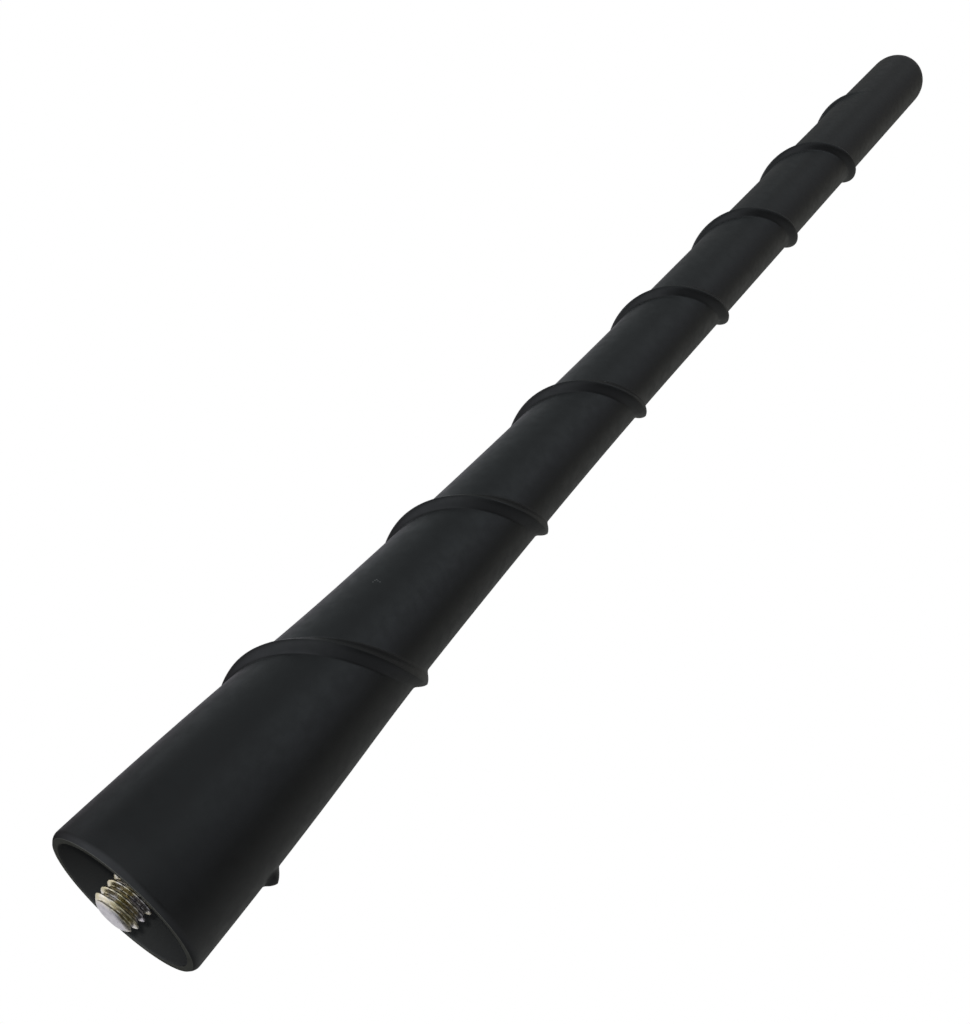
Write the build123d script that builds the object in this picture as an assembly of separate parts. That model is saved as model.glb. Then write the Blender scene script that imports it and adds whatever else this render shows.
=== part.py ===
"""Car mast aerial: a ribbed rubber jacket moulded over a threaded stud and a wound rod.

Millimetres. The mast stands along +Z, with the origin at the middle of the foot's rim.
"""
import os
from collections import namedtuple
from math import asin, atan, ceil, cos, radians, sin

from build123d import *

# Outline of the jacket: a bulging skirt, a hollow waist and neck, a straight shaft and a dome
# A slope is the radius gained for each millimetre of height
MAST_LENGTH = 214.0         # rim to the top of the dome
RIM_RADIUS = 9.0            # skirt at the rim, before the lip is rounded
RIM_SLOPE = -0.030
HIP_HEIGHT = 28.0           # where the skirt gives way to the waist
HIP_SLOPE = -0.075
WAIST_HEIGHT = 40.0         # where the waist gives way to the neck
WAIST_SLOPE = -0.042
NECK_HEIGHT = 103.0         # where the neck runs out into the shaft
SHAFT_SLOPE = -0.0015
SKIRT_BANDS = 3             # straight bands that stand for the skirt's bulge

# Hollow foot and its lip
LIP_WALL = 1.15             # wall round the hollow
CUP_DEPTH = 8.5
LIP_ROUND = 0.6             # rounding of its outer edge
LIP_FLATS = 3               # flats that stand for that rounding
LIP_CHAMFER = 0.3           # of its inner edge

# Helical rib
RIB_PITCH = 26.85
RIB_START_HEIGHT = 10.6     # where its full section starts, above the tapered end
RIB_START_ANGLE = -6.0      # degrees from +X
RIB_TOP_MARGIN = 24.0       # from where the full section stops to the top of the dome
RIB_HEIGHT = 1.0            # above the skin
RIB_WIDTH = 2.5             # across it, where the flanks meet the skin
RIB_CREST = 0.6             # across its flat top
RIB_ROOT = 0.5              # how deep the swept section reaches under the skin
RIB_END_CHAMFER = 0.35      # length of its two tapered ends
RIB_END_TAPER = 45.0        # degrees, of those ends
RIB_STEP = 36.0             # degrees between the points of its path, at most
RIB_FADE_TURN = 100.0       # degrees over which the top of the rib sinks into the skin
RIB_FADE_DROP = 1.1         # how deep it sinks

# Threaded stud
THREAD_RADIUS = 2.5
STUD_PROUD = 1.4            # how far the free end stands past the rim
STUD_CHAMFER = 0.7
COLLAR_LEDGE = 1.0          # collar's edge past the shank
COLLAR_THICKNESS = 1.6
COLLAR_PROUD = 0.6          # collar's face below the floor of the hollow
SHANK_LENGTH = 14.0
SOCKET_WALL = 1.5           # shank's wall round the rod
SOCKET_DEPTH = 10.0
GROOVE_WIDTH = 4.0          # groove above the collar, which the rubber fills
GROOVE_DEPTH = 0.5

# Rod and winding
ROD_RADIUS = 2.0
ROD_COVER = 12.0            # rubber over the top of the rod
WIRE_RADIUS = 0.25
WIRE_SIDES = 6              # flats that stand for the round wire
VARNISH = 0.05              # each side of the wire
CLOSE_LENGTH = 30.0         # close-wound stretch above the stud
OPEN_PITCH = 50.0           # of the turns above it
WIRE_TOP_GAP = 6.0          # bare rod above the last turn

# Fits
MOULD_GAP = 0.02            # between the rubber and what it is moulded on
ROD_GAP = 0.02              # rod in its socket, and wire on the rod

# Heights and radii that follow
RIB_ANGLE = 360 * (MAST_LENGTH - RIB_TOP_MARGIN - RIB_START_HEIGHT) / RIB_PITCH
COLLAR_BOTTOM = CUP_DEPTH - COLLAR_PROUD
SHANK_BOTTOM = COLLAR_BOTTOM + COLLAR_THICKNESS
SHANK_TOP = SHANK_BOTTOM + SHANK_LENGTH
SHANK_RADIUS = ROD_RADIUS + ROD_GAP + SOCKET_WALL
ROD_BOTTOM = SHANK_TOP - SOCKET_DEPTH + ROD_GAP
ROD_TOP = MAST_LENGTH - ROD_COVER
WIRE_LINE = ROD_RADIUS + ROD_GAP + VARNISH + WIRE_RADIUS
WOUND_RADIUS = WIRE_LINE + WIRE_RADIUS + VARNISH


Station = namedtuple("Station", "height radius slope")


def arc_radius(low, top_height, top_slope, height):
    """Radius at a height on the arc that leaves the station low and reaches the top height and slope."""
    first, last = atan(low.slope), atan(top_slope)
    bend = (top_height - low.height) / (sin(last) - sin(first))
    lean = asin(sin(first) + (height - low.height) / bend)
    return low.radius + bend * (cos(first) - cos(lean))


def outline_stations():
    """Stations where one arc of the outline meets the next, from the rim to the shaft."""
    stations = [Station(0.0, RIM_RADIUS, RIM_SLOPE)]
    for height, slope in ((HIP_HEIGHT, HIP_SLOPE), (WAIST_HEIGHT, WAIST_SLOPE), (NECK_HEIGHT, SHAFT_SLOPE)):
        stations.append(Station(height, arc_radius(stations[-1], height, slope, height), slope))
    return stations


RIM, HIP, WAIST, NECK = outline_stations()
TIP_RADIUS = (NECK.radius + SHAFT_SLOPE * (MAST_LENGTH - NECK_HEIGHT)) / (1 + SHAFT_SLOPE)
DOME_FOOT = MAST_LENGTH - TIP_RADIUS


def skin_radius(height):
    """Radius of the jacket without its rib, at a height below the dome."""
    for low, high in ((RIM, HIP), (HIP, WAIST), (WAIST, NECK)):
        if height < high.height:
            return arc_radius(low, high.height, high.slope, height)
    return NECK.radius + SHAFT_SLOPE * (height - NECK_HEIGHT)


def column(bottom, top, radius):
    """Upright cylinder on the mast's axis."""
    return Pos(0, 0, bottom) * Cylinder(radius, top - bottom, align=(Align.CENTER, Align.CENTER, Align.MIN))


def lip_points():
    """Corners from the hollow's mouth round the lip's two edges, before the skirt."""
    bevel = min(LIP_CHAMFER, LIP_WALL / 3)
    curve = min(LIP_ROUND, LIP_WALL / 2)
    mouth = RIM_RADIUS - LIP_WALL
    corners = [(mouth, bevel), (mouth + bevel, 0)]
    for step in range(LIP_FLATS):
        turn = radians(90 * step / LIP_FLATS)
        corners.append((RIM_RADIUS - curve + curve * sin(turn), curve - curve * cos(turn)))
    return corners, curve


def outline_arc(low, high):
    """Arc of the outline from one station to the next."""
    return TangentArc((low.radius, low.height), (high.radius, high.height), tangent=(low.slope, 1))


def jacket_body():
    """Revolved skirt, waist, neck, shaft and dome, with the hollow foot and its lip."""
    floor = skin_radius(CUP_DEPTH) - LIP_WALL
    lip, skirt_foot = lip_points()
    band = (HIP_HEIGHT - skirt_foot) / SKIRT_BANDS
    heights = [skirt_foot + band * step for step in range(SKIRT_BANDS)]
    skirt = [(skin_radius(height), height) for height in heights]
    hollow = [(0, MAST_LENGTH), (0, CUP_DEPTH), (floor, CUP_DEPTH)]
    outline = [
        Polyline(*hollow, *lip, *skirt, (HIP.radius, HIP_HEIGHT)),
        outline_arc(HIP, WAIST),
        outline_arc(WAIST, NECK),
        Line((NECK.radius, NECK_HEIGHT), (TIP_RADIUS, DOME_FOOT)),
        RadiusArc((TIP_RADIUS, DOME_FOOT), (0, MAST_LENGTH), -TIP_RADIUS),
    ]
    return revolve(Plane.XZ * make_face(outline), Axis.Z)


def rib_point(angle):
    """Point on the skin under the rib's crest, with the rib's start at angle 0."""
    height = RIB_START_HEIGHT + RIB_PITCH * angle / 360
    fade = max(0.0, 1 - (RIB_ANGLE - angle) / RIB_FADE_TURN)
    radius = skin_radius(height) - RIB_FADE_DROP * fade ** 2
    bearing = radians(RIB_START_ANGLE + angle)
    return Vector(radius * cos(bearing), radius * sin(bearing), height)


def rib_section():
    """Two flanks and a flat crest, pointing along +X from the skin, and a root under it."""
    flare = (RIB_WIDTH - RIB_CREST) / 2 / RIB_HEIGHT
    crest_half = RIB_CREST / 2
    root_half = crest_half + flare * (RIB_HEIGHT + RIB_ROOT)
    corners = [
        (-RIB_ROOT, -root_half),
        (RIB_HEIGHT, -crest_half),
        (RIB_HEIGHT, crest_half),
        (-RIB_ROOT, root_half),
    ]
    return make_face(Polyline(*corners, close=True))


def tapered_end(end):
    """Short taper that stands on an end face of the rib."""
    corners = [edge @ 0 for edge in end.outer_wire().order_edges()]
    outline = make_face(Polyline(*corners, close=True))
    return extrude(outline, RIB_END_CHAMFER, dir=end.normal_at(), taper=RIB_END_TAPER)


def rib():
    """Ridge swept up the skin, right-handed, with a tapered end on each of its two end faces."""
    count = ceil(RIB_ANGLE / RIB_STEP)
    path = Spline(*[rib_point(RIB_ANGLE * step / count) for step in range(count + 1)])
    heading = path % 0
    across = Plane(origin=path @ 0, x_dir=heading.cross(Vector(0, 0, 1)), z_dir=heading)
    ridge = sweep(across * rib_section(), path, is_frenet=True)
    return ridge + [tapered_end(end) for end in ridge.faces().filter_by(GeomType.PLANE)]


def stud_steps():
    """Bottom, top and radius of the collar, the groove and the land that the rubber holds."""
    groove_top = SHANK_BOTTOM + GROOVE_WIDTH
    return [
        (COLLAR_BOTTOM, SHANK_BOTTOM, SHANK_RADIUS + COLLAR_LEDGE),
        (SHANK_BOTTOM, groove_top, SHANK_RADIUS - GROOVE_DEPTH),
        (groove_top, SHANK_TOP, SHANK_RADIUS),
    ]


def threaded_stud():
    """Turned stud: plain-modelled thread, collar, grooved shank and the rod's socket."""
    thread = column(-STUD_PROUD, SHANK_BOTTOM, THREAD_RADIUS)
    stud = chamfer(thread.edges().group_by(Axis.Z)[0], STUD_CHAMFER)
    for bottom, top, radius in stud_steps():
        stud += column(bottom, top, radius)
    return stud - column(SHANK_TOP - SOCKET_DEPTH, SHANK_TOP, ROD_RADIUS + ROD_GAP)


def core_rod():
    """Glass-fibre rod from the stud's socket to just under the dome."""
    return column(ROD_BOTTOM, ROD_TOP, ROD_RADIUS)


def coil_winding():
    """One wire: a close-wound stretch, its turns as one sleeve, then open turns up the rod."""
    close_bottom = SHANK_TOP + MOULD_GAP
    close_top = close_bottom + CLOSE_LENGTH
    sleeve = column(close_bottom, close_top, WOUND_RADIUS)
    sleeve -= column(close_bottom, close_top, ROD_RADIUS + ROD_GAP)
    foot = close_top - WIRE_RADIUS
    path = Pos(0, 0, foot) * Helix(OPEN_PITCH, ROD_TOP - WIRE_TOP_GAP - foot, WIRE_LINE)
    section = Plane(origin=path @ 0, z_dir=path % 0) * RegularPolygon(WIRE_RADIUS, WIRE_SIDES)
    return sleeve + sweep(section, path, is_frenet=True)


def rubber_jacket():
    """Jacket with its rib, less the room for what it is moulded on."""
    jacket = jacket_body() + rib()
    for bottom, top, radius in stud_steps():
        jacket -= column(bottom - MOULD_GAP, top + MOULD_GAP, radius + MOULD_GAP)
    return jacket - column(SHANK_TOP, ROD_TOP + MOULD_GAP, WOUND_RADIUS + MOULD_GAP)


PIECES = {
    "rubber_jacket": rubber_jacket,
    "threaded_stud": threaded_stud,
    "core_rod": core_rod,
    "coil_winding": coil_winding,
}

os.makedirs("parts", exist_ok=True)
for name, make in PIECES.items():
    export_step(make(), f"parts/{name}.step")
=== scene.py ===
"""Car mast aerial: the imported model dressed, lit and seen as in the photograph.

Lengths are in millimetres and angles in degrees, as in the part's source. Meshes are made in metres.
"""
from collections import namedtuple
from math import asin, atan, atan2, cos, degrees, hypot, radians, sin, sqrt, tan, tau

import bpy
from mathutils import Matrix, Vector


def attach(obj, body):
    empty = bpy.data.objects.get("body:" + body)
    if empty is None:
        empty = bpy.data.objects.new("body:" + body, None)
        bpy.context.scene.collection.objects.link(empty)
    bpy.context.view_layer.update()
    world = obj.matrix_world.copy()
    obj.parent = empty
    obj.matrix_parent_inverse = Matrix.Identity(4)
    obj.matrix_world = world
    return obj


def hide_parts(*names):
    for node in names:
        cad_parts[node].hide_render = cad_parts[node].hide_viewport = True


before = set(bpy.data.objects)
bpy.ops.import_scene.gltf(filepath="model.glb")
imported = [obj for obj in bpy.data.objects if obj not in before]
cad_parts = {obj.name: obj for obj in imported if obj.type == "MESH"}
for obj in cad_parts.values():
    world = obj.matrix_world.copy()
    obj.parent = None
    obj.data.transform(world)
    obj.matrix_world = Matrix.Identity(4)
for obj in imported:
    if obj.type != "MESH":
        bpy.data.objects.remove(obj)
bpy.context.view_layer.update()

MM = 0.001

# Camera, fitted to the photograph
EYE = Vector((-0.601, -111.265, -21.137)) * MM
AHEAD = Vector((0.0, 0.80588, 0.59208))
RIGHT = Vector((0.72664, -0.40677, 0.55366))
UP = Vector((-0.68702, -0.43023, 0.58558))
IMAGE_LONG_SIDE = 1024
FOCAL_PIXELS = 1121.6
SENSOR = 36.0
NEAR_CLIP = 5.0

# Outline of the jacket, with slopes as the radius gained for each millimetre of height
MAST_LENGTH = 214.0
RIM_RADIUS = 9.0
RIM_SLOPE = -0.030
HIP_HEIGHT = 28.0
HIP_SLOPE = -0.075
WAIST_HEIGHT = 40.0
WAIST_SLOPE = -0.042
NECK_HEIGHT = 103.0
SHAFT_SLOPE = -0.0015

# Hollow foot and its lip
LIP_WALL = 1.15
CUP_DEPTH = 8.5
LIP_ROUND = 0.8
LIP_ARC = 50.0
LIP_CHAMFER = 0.08
LIP_INNER_ROUND = 0.2
CUP_FLOOR_ROUND = 0.5
LIP_STEPS = 8
MOUTH_RADIUS = RIM_RADIUS - LIP_WALL
LIP_TOP = LIP_CHAMFER + LIP_ROUND * sin(radians(LIP_ARC))

# Helical rib
RIB_PITCH = 26.85
RIB_START_HEIGHT = 10.6
RIB_START_ANGLE = -6.0
RIB_TOP_MARGIN = 24.0
RIB_HEIGHT = 1.0
RIB_HALF_WIDTH = 1.12
RIB_FLANK_SLOPE = 1.15
RIB_CORNER = 0.6
RIB_END_LENGTH = 0.35
RIB_ROOT_BLEND = 0.24
RIB_FADE_TURN = 100.0
RIB_FADE_DROP = 1.1
RIB_ANGLE = 360 * (MAST_LENGTH - RIB_TOP_MARGIN - RIB_START_HEIGHT) / RIB_PITCH
RIB_TURNS = int(RIB_ANGLE // 360) + 1

# Grid of the jacket's skin, with offsets along the rib at its start and across the rib
SEAM_LEAD = 24.0
COLUMN_STEP = 2.5
COLUMN_CLEARANCE = 0.5
END_OFFSETS = (-0.06, 0.0, 0.05, 0.12, 0.22, 0.34, 0.48, 0.64, 0.84, 1.1)
HALF_BAND = (0.0, 0.10, 0.20, 0.32, 0.44, 0.56, 0.68, 0.80, 0.92, 1.03, 1.12, 1.18, 1.26, 1.4)
BAND_OFFSETS = sorted(set(HALF_BAND) | {-offset for offset in HALF_BAND})
BASE_ROWS = 8
GAP_ROWS = 9
TOP_ROWS = 8
DOME_ROWS = 16

# Pockets that the rubber leaves round what it is moulded on, from the cup up
Pocket = namedtuple("Pocket", "bottom radius")
COLLAR_POCKET = Pocket(CUP_DEPTH, 4.54)
GROOVE_POCKET = Pocket(9.52, 3.04)
LAND_POCKET = Pocket(13.48, 3.54)
BORE = Pocket(23.52, 2.64)
BORE_TOP = 202.02

# Threaded stud
THREAD_RADIUS = 2.5
THREAD_PITCH = 0.8
THREAD_DEPTH = 0.49
THREAD_CREST = 0.10
THREAD_FLANK = 0.283
THREAD_PHASE = 0.4625
THREAD_ROW = 0.05
THREAD_RUNOUT = 0.8
STUD_END = -1.4
STUD_CHAMFER = 0.7
STUD_CONE = 45.0
STUD_FLAT = 1.2
COLLAR_BOTTOM = 7.9
COLLAR_RADIUS = 4.52
COLLAR_BEVEL = 0.2
SHANK_BOTTOM = 9.5
GROOVE_RADIUS = 3.02
GROOVE_TOP = 13.5
LAND_RADIUS = 3.52
SHANK_TOP = 23.5
SOCKET_RADIUS = 2.02
ROUND_COLUMNS = 96

# Angle between two faces above which their edge stays sharp
SMOOTH_ANGLE = 38.0

# Colours of the pieces and the floor
CHARCOAL_DARK = (0.0105, 0.0108, 0.0110)
CHARCOAL_PALE = (0.0130, 0.0133, 0.0134)
# Painted reflection: lighter grey on the lip's flat underside that stands for the light it reflects
PAINTED_LIP_SHEEN = (0.125, 0.125, 0.108)
CUP_GREY = (0.040, 0.041, 0.040)
DUST_GREY = (0.16, 0.16, 0.155)
PLATING_OLIVE = (0.50, 0.46, 0.27)
PLATING_STRAW = (0.74, 0.66, 0.46)
PLATING_SILVER = (0.84, 0.80, 0.74)
PLATING_LILAC = (0.66, 0.62, 0.70)
NOSE_GREY = (0.58, 0.56, 0.61)
RESIN_DARK = (0.42, 0.36, 0.20)
RESIN_PALE = (0.66, 0.60, 0.42)
VARNISH_BROWN = (0.46, 0.18, 0.08)
COPPER_BRIGHT = (0.80, 0.42, 0.25)
FLOOR_GREY = (0.80, 0.80, 0.80)
FLOOR_PALE = (0.84, 0.84, 0.84)

# Heights where the painted reflection on the lip's flat is full and gone, and soft edges of the cup's
# and nose's colours
PAINTED_SHEEN_FULL = 0.01
PAINTED_SHEEN_NONE = 0.04
CUP_EDGE = 0.1
NOSE_EDGE = 0.45

# Dust on the rubber: bearing, height and radius, and the share of the radius that is all dust
SPECKS = (
    (232.1, 39.5, 0.10),
    (232.4, 39.8, 0.10),
    (233.2, 40.0, 0.11),
    (235.3, 39.9, 0.10),
    (237.6, 39.9, 0.10),
    (316.9, 35.8, 0.11),
    (304.5, 59.4, 0.12),
    (260.9, 85.6, 0.14),
)
SPECK_CORE = 0.5

# Sockets of the node that mixes two colours
MIX_UNDER = 6
MIX_OVER = 7
MIX_RESULT = 2

# Floor and its light
FLOOR_HEIGHT = -200.0
FLOOR_RADIUS = 6000.0
FLOOR_LIGHT_FROM = Vector((0.0, 0.0, 1.0))
FLOOR_LIGHT_ANGLE = 40.0
FLOOR_LIGHT = 3.2

# Soft panels of light round the object: azimuth, elevation, spread and colour
Panel = namedtuple("Panel", "azimuth elevation spread colour")
FRONT = Panel(260, 35, 30, (0.62, 0.69, 0.74))
FRONT_RIGHT = Panel(298, 34, 28, (0.44, 0.47, 0.53))
RIGHT_HAND = Panel(355, 50, 30, (0.12, 0.12, 0.11))
RIGHT_WASH = Panel(35, 25, 60, (0.23, 0.24, 0.24))
BACK = Panel(110, 30, 30, (0.44, 0.43, 0.48))
LEFT_BACK = Panel(160, 30, 30, (0.41, 0.45, 0.48))
HIGH_BACK = Panel(135, 50, 32, (0.085, 0.09, 0.095))
LEFT_HAND = Panel(205, 40, 30, (0.38, 0.43, 0.46))
LEFT_LEVEL = Panel(232, -8, 40, (0.26, 0.27, 0.29))
LEFT_LOW = Panel(165, -30, 55, (0.26, 0.26, 0.29))
RIGHT_LOW = Panel(345, -35, 60, (0.25, 0.26, 0.28))
BELOW = Panel(220, -50, 72, (0.68, 0.72, 0.77))
OVERHEAD = Panel(225, 85, 30, (0.20, 0.20, 0.21))
AMBIENT = Panel(0, 90, 180, (0.05, 0.045, 0.035))
PANELS = (
    FRONT, FRONT_RIGHT, RIGHT_HAND, RIGHT_WASH, BACK, LEFT_BACK, HIGH_BACK, LEFT_HAND,
    LEFT_LEVEL, LEFT_LOW, RIGHT_LOW, BELOW, OVERHEAD, AMBIENT,
)
BLACK = (0.0, 0.0, 0.0)
WHITE = (1.0, 1.0, 1.0, 1.0)

# Flash beside the lens
FLASH_PLACE = Vector((-12.2, -111.0, -21.0)) * MM
FLASH_AIM = (83.7, -8.4)
FLASH_CONE = 40.0
FLASH_BLEND = 0.02
FLASH_RADIUS = 3.0
FLASH_POWER = 0.20

# Soft light for the stud alone, from behind and below
STUD_LIGHT_FROM = Vector((-0.35, 0.85, -0.40))
STUD_LIGHT_ANGLE = 80.0
STUD_LIGHT = 1.0


Station = namedtuple("Station", "height radius slope")


def arc_radius(low, top_height, top_slope, height):
    """Radius at a height on the arc from a station to a height and slope above it."""
    first, last = atan(low.slope), atan(top_slope)
    bend = (top_height - low.height) / (sin(last) - sin(first))
    lean = asin(sin(first) + (height - low.height) / bend)
    return low.radius + bend * (cos(first) - cos(lean))


def outline_stations():
    """Stations where one arc of the outline meets the next, from the rim to the shaft."""
    stations = [Station(0.0, RIM_RADIUS, RIM_SLOPE)]
    tops = ((HIP_HEIGHT, HIP_SLOPE), (WAIST_HEIGHT, WAIST_SLOPE), (NECK_HEIGHT, SHAFT_SLOPE))
    for height, slope in tops:
        radius = arc_radius(stations[-1], height, slope, height)
        stations.append(Station(height, radius, slope))
    return stations


RIM, HIP, WAIST, NECK = outline_stations()
TIP_RADIUS = (NECK.radius + SHAFT_SLOPE * (MAST_LENGTH - NECK_HEIGHT)) / (1 + SHAFT_SLOPE)
DOME_FOOT = MAST_LENGTH - TIP_RADIUS


def skin_radius(height):
    """Radius of the jacket without its rib, at a height below the dome."""
    for low, high in ((RIM, HIP), (HIP, WAIST), (WAIST, NECK)):
        if height < high.height:
            return arc_radius(low, high.height, high.slope, height)
    return NECK.radius + SHAFT_SLOPE * (height - NECK_HEIGHT)


def rib_line(angle):
    """Height of the rib's crest line, the skin's radius and the line's climb at an angle along it."""
    height = RIB_START_HEIGHT + RIB_PITCH * angle / 360
    radius = skin_radius(height)
    return height, radius, atan2(RIB_PITCH, tau * radius)


def along_rib(length):
    """Angle that a length along the rib takes, near its start."""
    _, radius, climb = rib_line(0)
    return degrees(length * cos(climb) / radius)


RIB_FIRST = -along_rib(RIB_END_LENGTH)


def unit(value):
    """A value kept between 0 and 1."""
    return min(1.0, max(0.0, value))


def lesser(first, second, corner):
    """The lesser of two values, with a rounded corner where they cross."""
    near = max(0.0, corner - abs(first - second)) / corner
    return min(first, second) - near ** 2 * corner / 4


def rib_rise(offset, angle):
    """How far the rib stands out of the skin, at an offset across its crest line."""
    _, radius, climb = rib_line(angle)
    from_end = radians(angle - RIB_FIRST) * radius / cos(climb)
    reach = hypot(offset, max(0.0, RIB_HALF_WIDTH - from_end))
    rise = lesser(RIB_HEIGHT, RIB_FLANK_SLOPE * (RIB_HALF_WIDTH - reach), RIB_CORNER)
    rise -= RIB_FADE_DROP * unit(1 - (RIB_ANGLE - angle) / RIB_FADE_TURN) ** 2
    return -lesser(0.0, -rise, RIB_ROOT_BLEND)


def column_angles():
    """Angles of the grid's columns from the rib's start, with close columns at the rib's blunt end."""
    close = [SEAM_LEAD + RIB_FIRST + along_rib(offset) for offset in END_OFFSETS]
    even = [COLUMN_STEP * step for step in range(round(360 / COLUMN_STEP))]
    kept = [angle for angle in even if min(abs(angle - other) for other in close) > COLUMN_CLEARANCE]
    return [angle - SEAM_LEAD for angle in sorted(kept + close)]


def between(low, high, count):
    """Evenly spaced values between two others, without them."""
    return [low + (high - low) * (step + 1) / (count + 1) for step in range(count)]


def rib_band(angle):
    """Points across the rib at an angle along it: turn from the column, height and rise."""
    middle, radius, climb = rib_line(angle)
    band = []
    for offset in BAND_OFFSETS:
        turned = -degrees(offset * sin(climb) / radius)
        height = middle + offset * cos(climb)
        band.append((turned, height, rib_rise(offset, angle)))
    return band


def bare_rows(low, high, count):
    """Points on the bare skin between two points of a column."""
    turns = between(low[0], high[0], count)
    heights = between(low[1], high[1], count)
    return [(turned, height, 0.0) for turned, height in zip(turns, heights)]


def skin_column(angle):
    """Bearing, height and radius of each point of a column, from above the lip to below the dome."""
    points = []
    last, count = (0.0, LIP_TOP, 0.0), BASE_ROWS
    for turn in range(RIB_TURNS):
        band = rib_band(angle + 360 * turn)
        points += bare_rows(last, band[0], count) + band
        last, count = band[-1], GAP_ROWS
    points += bare_rows(last, (0.0, DOME_FOOT, 0.0), TOP_ROWS)
    bearing = RIB_START_ANGLE + angle
    return [(bearing + turned, height, skin_radius(height) + rise) for turned, height, rise in points]


def place_of(bearing, height, radius):
    """Place in metres of a bearing, height and radius."""
    turn = radians(bearing)
    return radius * cos(turn) * MM, radius * sin(turn) * MM, height * MM


def round_bearings():
    """Bearings of an even ring."""
    return [360 * column / ROUND_COLUMNS for column in range(ROUND_COLUMNS)]


class Shape:
    """Points and faces of a mesh under construction."""

    def __init__(self):
        self.points = []
        self.faces = []

    def point(self, bearing, height, radius):
        """Add a point and give its number."""
        self.points.append(place_of(bearing, height, radius))
        return len(self.points) - 1

    def ring(self, bearings, radius, height):
        """Add a ring of points."""
        return [self.point(bearing, height, radius) for bearing in bearings]

    def join(self, low, high):
        """Faces between two rings of as many points."""
        for index, corner in enumerate(low):
            after = (index + 1) % len(low)
            self.faces.append((corner, low[after], high[after], high[index]))

    def close(self, ring, height):
        """Faces from a ring to a point on the axis."""
        pole = self.point(0, height, 0)
        for index, corner in enumerate(ring):
            self.faces.append((corner, ring[(index + 1) % len(ring)], pole))

    def lathe(self, bearings, profile):
        """Rings along a profile of radii and heights, joined in order. Gives the first and the last."""
        rings = [self.ring(bearings, radius, height) for radius, height in profile]
        for low, high in zip(rings, rings[1:]):
            self.join(low, high)
        return rings[0], rings[-1]

    def zip_up(self, left, right):
        """Triangles between two chains of points, each step on the chain whose next point is lower."""
        at, to = 0, 0
        while at < len(left) - 1 or to < len(right) - 1:
            climb_left = to == len(right) - 1
            if at < len(left) - 1 and not climb_left:
                climb_left = self.points[left[at + 1]][2] <= self.points[right[to + 1]][2]
            if climb_left:
                self.faces.append((left[at], right[to], left[at + 1]))
                at += 1
            else:
                self.faces.append((left[at], right[to], right[to + 1]))
                to += 1

    def piece(self, name, material):
        """Scene object of the shape, smooth but for its sharp edges."""
        mesh = bpy.data.meshes.new(name)
        mesh.from_pydata(self.points, [], self.faces)
        mesh.validate()
        mesh.shade_smooth()
        mesh.set_sharp_from_angle(angle=radians(SMOOTH_ANGLE))
        mesh.materials.append(material)
        item = bpy.data.objects.new(name, mesh)
        bpy.context.scene.collection.objects.link(item)
        return item


def arc_points(middle_radius, middle_height, radius, start, stop, steps):
    """Radii and heights round an arc, with the angle taken from straight out."""
    turns = [radians(start + (stop - start) * step / steps) for step in range(steps + 1)]
    return [(middle_radius + radius * cos(turn), middle_height + radius * sin(turn)) for turn in turns]


def hollow_profile():
    """Radii and heights from the top of the bore down to the cup and round the lip."""
    profile = [(BORE.radius, BORE_TOP)]
    pockets = (BORE, LAND_POCKET, GROOVE_POCKET, COLLAR_POCKET)
    for upper, lower in zip(pockets, pockets[1:]):
        profile += [(upper.radius, upper.bottom), (lower.radius, upper.bottom)]
    profile.append((COLLAR_POCKET.radius, COLLAR_POCKET.bottom))
    corner_radius = skin_radius(CUP_DEPTH) - LIP_WALL - CUP_FLOOR_ROUND
    corner_height = CUP_DEPTH - CUP_FLOOR_ROUND
    profile += arc_points(corner_radius, corner_height, CUP_FLOOR_ROUND, 90, 0, LIP_STEPS)
    inner = MOUTH_RADIUS + LIP_INNER_ROUND
    profile += arc_points(inner, LIP_INNER_ROUND, LIP_INNER_ROUND, 180, 270, LIP_STEPS)
    outer = skin_radius(LIP_TOP) - LIP_ROUND
    rounding = arc_points(outer, LIP_TOP, LIP_ROUND, -LIP_ARC, 0, LIP_STEPS)
    flat_edge = rounding[0][0] - LIP_CHAMFER
    return profile + [(flat_edge, 0.0)] + rounding


def close_seam(shape, last, first):
    """Faces that join each turn of the rib on the last column to the next turn on the first one."""
    turn_rows = len(BAND_OFFSETS) + GAP_ROWS
    start = 1 + BASE_ROWS
    stop = start + turn_rows * (RIB_TURNS - 1) - GAP_ROWS
    for row in range(start, stop - 1):
        other = row + turn_rows
        shape.faces.append((last[row], first[other], first[other + 1], last[row + 1]))
    shape.zip_up(last[:start + 1], first[:start + turn_rows + 1])
    shape.zip_up(last[stop - 1:], first[stop + turn_rows - 1:])


def rubber_jacket(material):
    """Moulded jacket: hollow foot, rounded lip, skin with the helical rib, and dome."""
    shape = Shape()
    angles = column_angles()
    bearings = [RIB_START_ANGLE + angle for angle in angles]
    bore_ring, lip_ring = shape.lathe(bearings, hollow_profile())
    shape.close(bore_ring[::-1], BORE_TOP)
    dome = arc_points(0, DOME_FOOT, TIP_RADIUS, 0, 90, DOME_ROWS)[:-1]
    dome_ring, top_ring = shape.lathe(bearings, dome)
    shape.close(top_ring, MAST_LENGTH)
    columns = []
    for angle, low, high in zip(angles, lip_ring, dome_ring):
        points = [shape.point(*spot) for spot in skin_column(angle)]
        columns.append([low] + points + [high])
    for left, right in zip(columns, columns[1:]):
        for row in range(len(left) - 1):
            shape.faces.append((left[row], right[row], right[row + 1], left[row + 1]))
    close_seam(shape, columns[-1], columns[0])
    return shape.piece("moulded_jacket", material)


def nose_radius(rise):
    """Radius of the stud's nose above its end: a rounding from the flat to the chamfer's cone."""
    cone = radians(STUD_CONE)
    cone_start = THREAD_RADIUS - STUD_CHAMFER
    reach = cone_start - STUD_FLAT
    if rise > reach * sin(cone):
        return cone_start + rise / tan(cone)
    rounding = reach / tan(cone / 2)
    return STUD_FLAT + sqrt(rise * (2 * rounding - rise))


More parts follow.
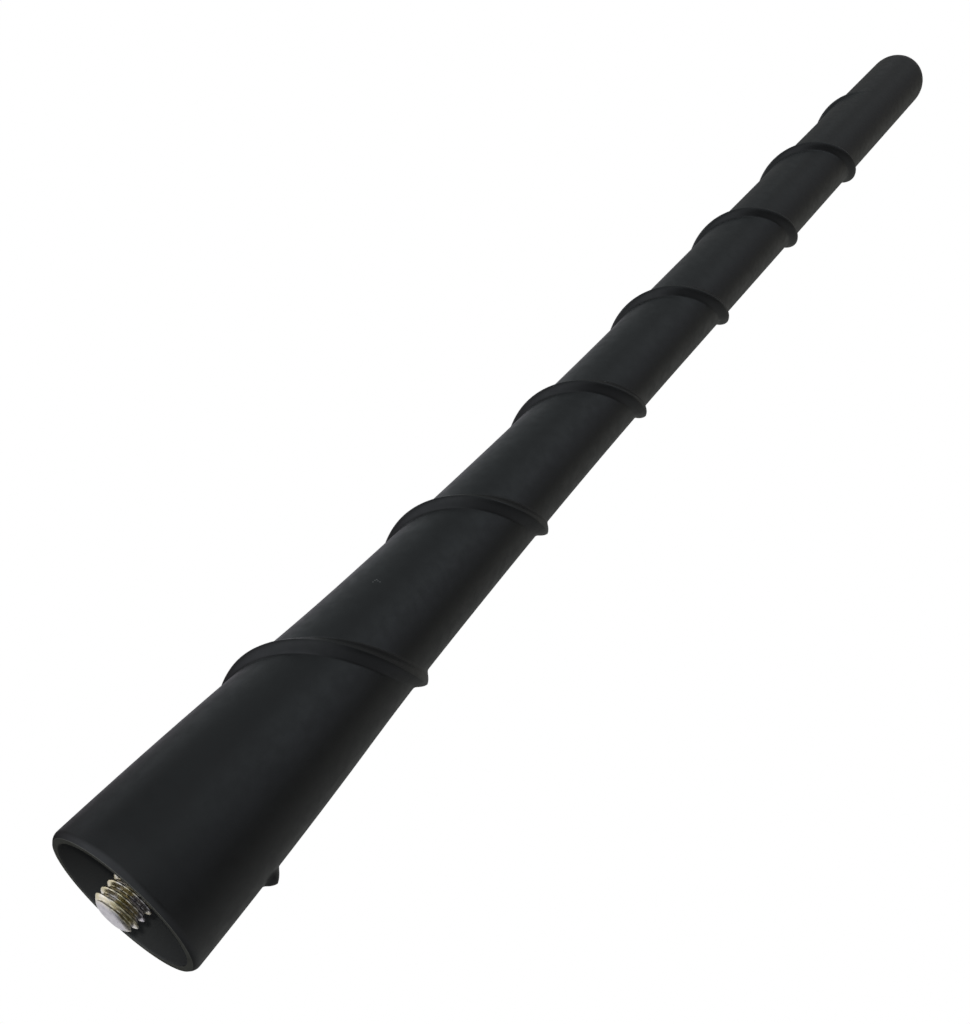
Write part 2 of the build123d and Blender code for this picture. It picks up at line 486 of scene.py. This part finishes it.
def thread_radius(bearing, height):
    """Radius of the threaded end at a bearing and height, with its nose and run-out."""
    turn = (height / THREAD_PITCH - bearing / 360 + THREAD_PHASE) % 1
    from_crest = min(turn, 1 - turn) * THREAD_PITCH
    share = unit((from_crest - THREAD_CREST / 2) / THREAD_FLANK)
    share = share * share * (3 - 2 * share)
    runout = unit((COLLAR_BOTTOM - height) / THREAD_RUNOUT)
    return min(THREAD_RADIUS - THREAD_DEPTH * share * runout, nose_radius(height - STUD_END))


def threaded_stud(material):
    """Turned and threaded stud with its collar, grooved shank and socket."""
    shape = Shape()
    bearings = round_bearings()
    below = shape.ring(bearings, STUD_FLAT / 2, STUD_END)
    shape.close(below[::-1], STUD_END)
    rows = round((COLLAR_BOTTOM - STUD_END) / THREAD_ROW)
    for row in range(rows + 1):
        height = STUD_END + (COLLAR_BOTTOM - STUD_END) * row / rows
        ring = [shape.point(bearing, height, thread_radius(bearing, height)) for bearing in bearings]
        shape.join(below, ring)
        below = ring
    collar = [
        (COLLAR_RADIUS - COLLAR_BEVEL, COLLAR_BOTTOM),
        (COLLAR_RADIUS, COLLAR_BOTTOM + COLLAR_BEVEL),
        (COLLAR_RADIUS, SHANK_BOTTOM),
        (GROOVE_RADIUS, SHANK_BOTTOM),
        (GROOVE_RADIUS, GROOVE_TOP),
        (LAND_RADIUS, GROOVE_TOP),
        (LAND_RADIUS, SHANK_TOP),
        (SOCKET_RADIUS, SHANK_TOP),
        (SOCKET_RADIUS, GROOVE_TOP),
    ]
    collar_ring, socket_ring = shape.lathe(bearings, collar)
    shape.join(below, collar_ring)
    shape.close(socket_ring, GROOVE_TOP)
    return shape.piece("turned_stud", material)


class Nodes:
    """A node tree and the few kinds of node used here."""

    def __init__(self, tree):
        self.nodes = tree.nodes
        self.links = tree.links

    def feed(self, socket, value):
        """Give a socket a link or a value."""
        if isinstance(value, bpy.types.NodeSocket):
            self.links.new(value, socket)
        else:
            socket.default_value = value

    def add(self, kind, inputs=(), **settings):
        """New node with its settings and its inputs."""
        node = self.nodes.new(kind)
        for key, value in settings.items():
            setattr(node, key, value)
        for key, value in dict(inputs).items():
            self.feed(node.inputs[key], value)
        return node

    def combine(self, operation, first, second):
        """Result of an operation on two numbers."""
        inputs = {0: first, 1: second}
        return self.add("ShaderNodeMath", inputs, operation=operation).outputs["Value"]

    def vectors(self, operation, *inputs):
        """Node with an operation on vectors."""
        return self.add("ShaderNodeVectorMath", enumerate(inputs), operation=operation)

    def spread(self, value, low, high, start=0.3, stop=0.7):
        """A value from start to stop mapped softly to a range from low to high."""
        inputs = {"Value": value, "From Min": start, "From Max": stop, "To Min": low, "To Max": high}
        return self.add("ShaderNodeMapRange", inputs, interpolation_type="SMOOTHSTEP").outputs["Result"]

    def ramp(self, value, *stops):
        """Colours along a value."""
        node = self.add("ShaderNodeValToRGB", {"Fac": value})
        elements = node.color_ramp.elements
        while len(elements) < len(stops):
            elements.new(position=0.5)
        for element, (position, colour) in zip(elements, stops):
            element.position = position
            element.color = (*colour, 1)
        return node.outputs["Color"]

    def mix(self, share, under, over):
        """A colour with another laid over it by a share."""
        inputs = {"Factor": share, MIX_UNDER: under, MIX_OVER: (*over, 1)}
        return self.add("ShaderNodeMix", inputs, data_type="RGBA").outputs[MIX_RESULT]


class Surface(Nodes):
    """A material, its shader and its place on the piece."""

    def __init__(self, name):
        self.material = bpy.data.materials.new(name)
        self.material.use_nodes = True
        super().__init__(self.material.node_tree)
        self.shader = self.nodes["Principled BSDF"]
        self.place = self.add("ShaderNodeTexCoord").outputs["Object"]

    def height(self):
        """Height of a point above the rim."""
        return self.add("ShaderNodeSeparateXYZ", {"Vector": self.place}).outputs["Z"]

    def radius(self):
        """Distance of a point from the axis."""
        level = self.vectors("MULTIPLY", self.place, (1, 1, 0)).outputs["Vector"]
        return self.vectors("LENGTH", level).outputs["Value"]

    def scaled(self, across, along):
        """The place scaled across and along the axis."""
        inputs = {"Vector": self.place, "Scale": (across, across, along)}
        return self.add("ShaderNodeMapping", inputs).outputs["Vector"]

    def up_to(self, length, full, none):
        """Share that is one below a length in millimetres and none above another."""
        return self.spread(length, low=1.0, high=0.0, start=full * MM, stop=none * MM)

    def noise(self, size, detail, place=None):
        """Noise whose features measure about a size in millimetres."""
        inputs = {"Vector": place or self.place, "Scale": 1 / (size * MM), "Detail": detail}
        return self.add("ShaderNodeTexNoise", inputs).outputs["Fac"]

    def bump(self, height, depth, strength, below=None):
        """Bump of a depth in millimetres."""
        inputs = {"Height": height, "Distance": depth * MM, "Strength": strength}
        if below is not None:
            inputs["Normal"] = below
        return self.add("ShaderNodeBump", inputs).outputs["Normal"]

    def finish(self, **inputs):
        """Set the shader's inputs, by link or by value, and give the material."""
        for key, value in inputs.items():
            self.feed(self.shader.inputs[key.replace("_", " ")], value)
        return self.material


def speck_share(surface):
    """Share of dust at a point: one on a speck, none between them."""
    share = 0.0
    for bearing, height, radius in SPECKS:
        spot = place_of(bearing, height, skin_radius(height))
        reach = surface.vectors("DISTANCE", surface.place, spot).outputs["Value"]
        near = surface.up_to(reach, radius * SPECK_CORE, radius)
        share = surface.combine("MAXIMUM", share, near)
    return share


def rubber():
    """Charcoal rubber: satin and finely grained, with a painted reflection on the lip's flat, a matte
    cup and a little dust.
    """
    surface = Surface("satin_rubber")
    mottle = surface.noise(size=6.0, detail=4.0)
    colour = surface.ramp(mottle, (0.32, CHARCOAL_DARK), (0.68, CHARCOAL_PALE))
    height = surface.height()
    # Painted reflection: the lip's flat underside is coloured lighter grey to stand for the light it
    # reflects
    colour = surface.mix(surface.up_to(height, PAINTED_SHEEN_FULL, PAINTED_SHEEN_NONE), colour, PAINTED_LIP_SHEEN)
    within = surface.up_to(surface.radius(), MOUTH_RADIUS, MOUTH_RADIUS + CUP_EDGE)
    below = surface.up_to(height, CUP_DEPTH, CUP_DEPTH + CUP_EDGE)
    cup = surface.combine("MULTIPLY", within, below)
    colour = surface.mix(cup, colour, CUP_GREY)
    colour = surface.mix(speck_share(surface), colour, DUST_GREY)
    satin = surface.spread(surface.noise(size=1.2, detail=3.0), low=0.38, high=0.46)
    roughness = surface.combine("MAXIMUM", satin, cup)
    ripple = surface.bump(surface.noise(size=2.2, detail=2.0), depth=0.02, strength=0.6)
    grain = surface.noise(size=0.16, detail=2.0)
    normal = surface.bump(grain, depth=0.006, strength=0.7, below=ripple)
    return surface.finish(Base_Color=colour, Roughness=roughness, Normal=normal, IOR=1.5)


def plated_brass():
    """Bright plating with olive, straw and lilac tints, a greyer nose and fine turning lines."""
    surface = Surface("bright_plating")
    tint = surface.noise(size=1.6, detail=3.0)
    tints = (0.30, PLATING_OLIVE), (0.45, PLATING_STRAW), (0.56, PLATING_SILVER), (0.70, PLATING_LILAC)
    nose = surface.up_to(surface.height(), STUD_END, STUD_END + NOSE_EDGE)
    colour = surface.mix(nose, surface.ramp(tint, *tints), NOSE_GREY)
    roughness = surface.spread(surface.noise(size=0.5, detail=3.0), low=0.28, high=0.42)
    lines = surface.noise(size=0.08, detail=2.0, place=surface.scaled(across=0.1, along=1.0))
    normal = surface.bump(lines, depth=0.002, strength=0.3)
    return surface.finish(Base_Color=colour, Metallic=1.0, Roughness=roughness, Normal=normal)


def glass_fibre():
    """Pultruded rod: straw-coloured resin with fine streaks along it."""
    surface = Surface("pultruded_resin")
    streaks = surface.noise(size=0.18, detail=4.0, place=surface.scaled(across=1.0, along=0.02))
    colour = surface.ramp(streaks, (0.3, RESIN_DARK), (0.7, RESIN_PALE))
    roughness = surface.spread(streaks, low=0.30, high=0.46)
    normal = surface.bump(streaks, depth=0.01, strength=0.5)
    return surface.finish(Base_Color=colour, Roughness=roughness, Normal=normal)


def copper_wire():
    """Varnished copper wire, browner where the varnish is thick."""
    surface = Surface("varnished_copper")
    film = surface.noise(size=0.9, detail=3.0)
    colour = surface.ramp(film, (0.3, VARNISH_BROWN), (0.7, COPPER_BRIGHT))
    roughness = surface.spread(film, low=0.22, high=0.38)
    normal = surface.bump(surface.noise(size=0.1, detail=2.0), depth=0.004, strength=0.4)
    surface.finish(Base_Color=colour, Metallic=1.0, Roughness=roughness, Normal=normal)
    return surface.finish(Coat_Weight=0.6)


def pale_floor():
    """Pale matte floor, faintly uneven."""
    surface = Surface("pale_floor")
    cloud = surface.noise(size=120.0, detail=3.0)
    colour = surface.ramp(cloud, (0.3, FLOOR_GREY), (0.7, FLOOR_PALE))
    return surface.finish(Base_Color=colour, Roughness=surface.spread(cloud, low=0.85, high=0.95))


def way_to(azimuth, elevation):
    """Unit vector to an azimuth and elevation."""
    turn, rise = radians(azimuth), radians(elevation)
    return Vector((cos(turn) * cos(rise), sin(turn) * cos(rise), sin(rise)))


def set_camera():
    """Camera of the photograph."""
    data = bpy.data.cameras.new("photo_camera")
    data.sensor_width = SENSOR
    data.lens = FOCAL_PIXELS * SENSOR / IMAGE_LONG_SIDE
    data.clip_start = NEAR_CLIP * MM
    camera = bpy.data.objects.new("photo_camera", data)
    axes = Matrix((RIGHT, UP, -AHEAD)).transposed().to_4x4()
    camera.matrix_world = Matrix.Translation(EYE) @ axes
    bpy.context.scene.collection.objects.link(camera)
    bpy.context.scene.camera = camera


def set_world():
    """White backdrop, and soft panels of light round the object that only its surfaces see."""
    world = bpy.data.worlds.new("studio")
    bpy.context.scene.world = world
    world.use_nodes = True
    sky = Nodes(world.node_tree)
    way = sky.add("ShaderNodeTexCoord").outputs["Generated"]
    light = BLACK
    for panel in PANELS:
        near = sky.vectors("DOT_PRODUCT", way, way_to(panel.azimuth, panel.elevation)).outputs["Value"]
        share = sky.spread(near, low=0.0, high=1.0, start=cos(radians(panel.spread)), stop=1.0)
        light = sky.vectors("MULTIPLY_ADD", share, panel.colour, light).outputs["Vector"]
    surround = sky.add("ShaderNodeBackground", {"Color": light}).outputs["Background"]
    backdrop = sky.add("ShaderNodeBackground", {"Color": WHITE}).outputs["Background"]
    seen = sky.add("ShaderNodeLightPath").outputs["Is Camera Ray"]
    choice = sky.add("ShaderNodeMixShader", {"Fac": seen, 1: surround, 2: backdrop})
    sky.feed(sky.nodes["World Output"].inputs["Surface"], choice.outputs["Shader"])
    bpy.context.scene.view_settings.view_transform = "Standard"


def add_lamp(name, kind, strength, turn):
    """Lamp of a kind and strength, turned to its target."""
    data = bpy.data.lights.new(name, kind)
    data.energy = strength
    lamp = bpy.data.objects.new(name, data)
    lamp.rotation_mode = "QUATERNION"
    lamp.rotation_quaternion = turn
    bpy.context.scene.collection.objects.link(lamp)
    return lamp


def add_flash():
    """Small lamp beside the lens that shines past the stud into the hollow foot, below the near rim."""
    lamp = add_lamp("flash", "SPOT", FLASH_POWER, way_to(*FLASH_AIM).to_track_quat("-Z", "Y"))
    lamp.data.shadow_soft_size = FLASH_RADIUS * MM
    lamp.data.spot_size = radians(FLASH_CONE)
    lamp.data.spot_blend = FLASH_BLEND
    lamp.location = FLASH_PLACE
    lamp.visible_glossy = False


def light_alone(name, item, source, angle, strength):
    """Broad soft light from a direction that falls on one object alone."""
    lamp = add_lamp(name + "_light", "SUN", strength, source.to_track_quat("Z", "Y"))
    lamp.data.angle = radians(angle)
    lit = bpy.data.collections.new("lit_" + name)
    lit.objects.link(item)
    lamp.light_linking.receiver_collection = lit


def lay_floor():
    """Round floor under the mast, out of the photograph's view. Only the camera sees it."""
    shape = Shape()
    shape.close(shape.ring(round_bearings(), FLOOR_RADIUS, FLOOR_HEIGHT), FLOOR_HEIGHT)
    floor = shape.piece("floor", pale_floor())
    light_alone("floor", floor, FLOOR_LIGHT_FROM, FLOOR_LIGHT_ANGLE, FLOOR_LIGHT)
    floor.visible_diffuse = False
    floor.visible_glossy = False
    floor.visible_transmission = False


def dress():
    """Give each node its looks: two new pieces stand for the jacket and the stud."""
    jacket = rubber_jacket(rubber())
    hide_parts("rubber_jacket")
    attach(jacket, "root")
    stud = threaded_stud(plated_brass())
    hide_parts("threaded_stud")
    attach(stud, "root")
    light_alone("stud", stud, STUD_LIGHT_FROM, STUD_LIGHT_ANGLE, STUD_LIGHT)
    for node, material in (("core_rod", glass_fibre()), ("coil_winding", copper_wire())):
        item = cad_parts[node]
        item.data.materials.clear()
        item.data.materials.append(material)


set_camera()
set_world()
add_flash()
lay_floor()
dress()
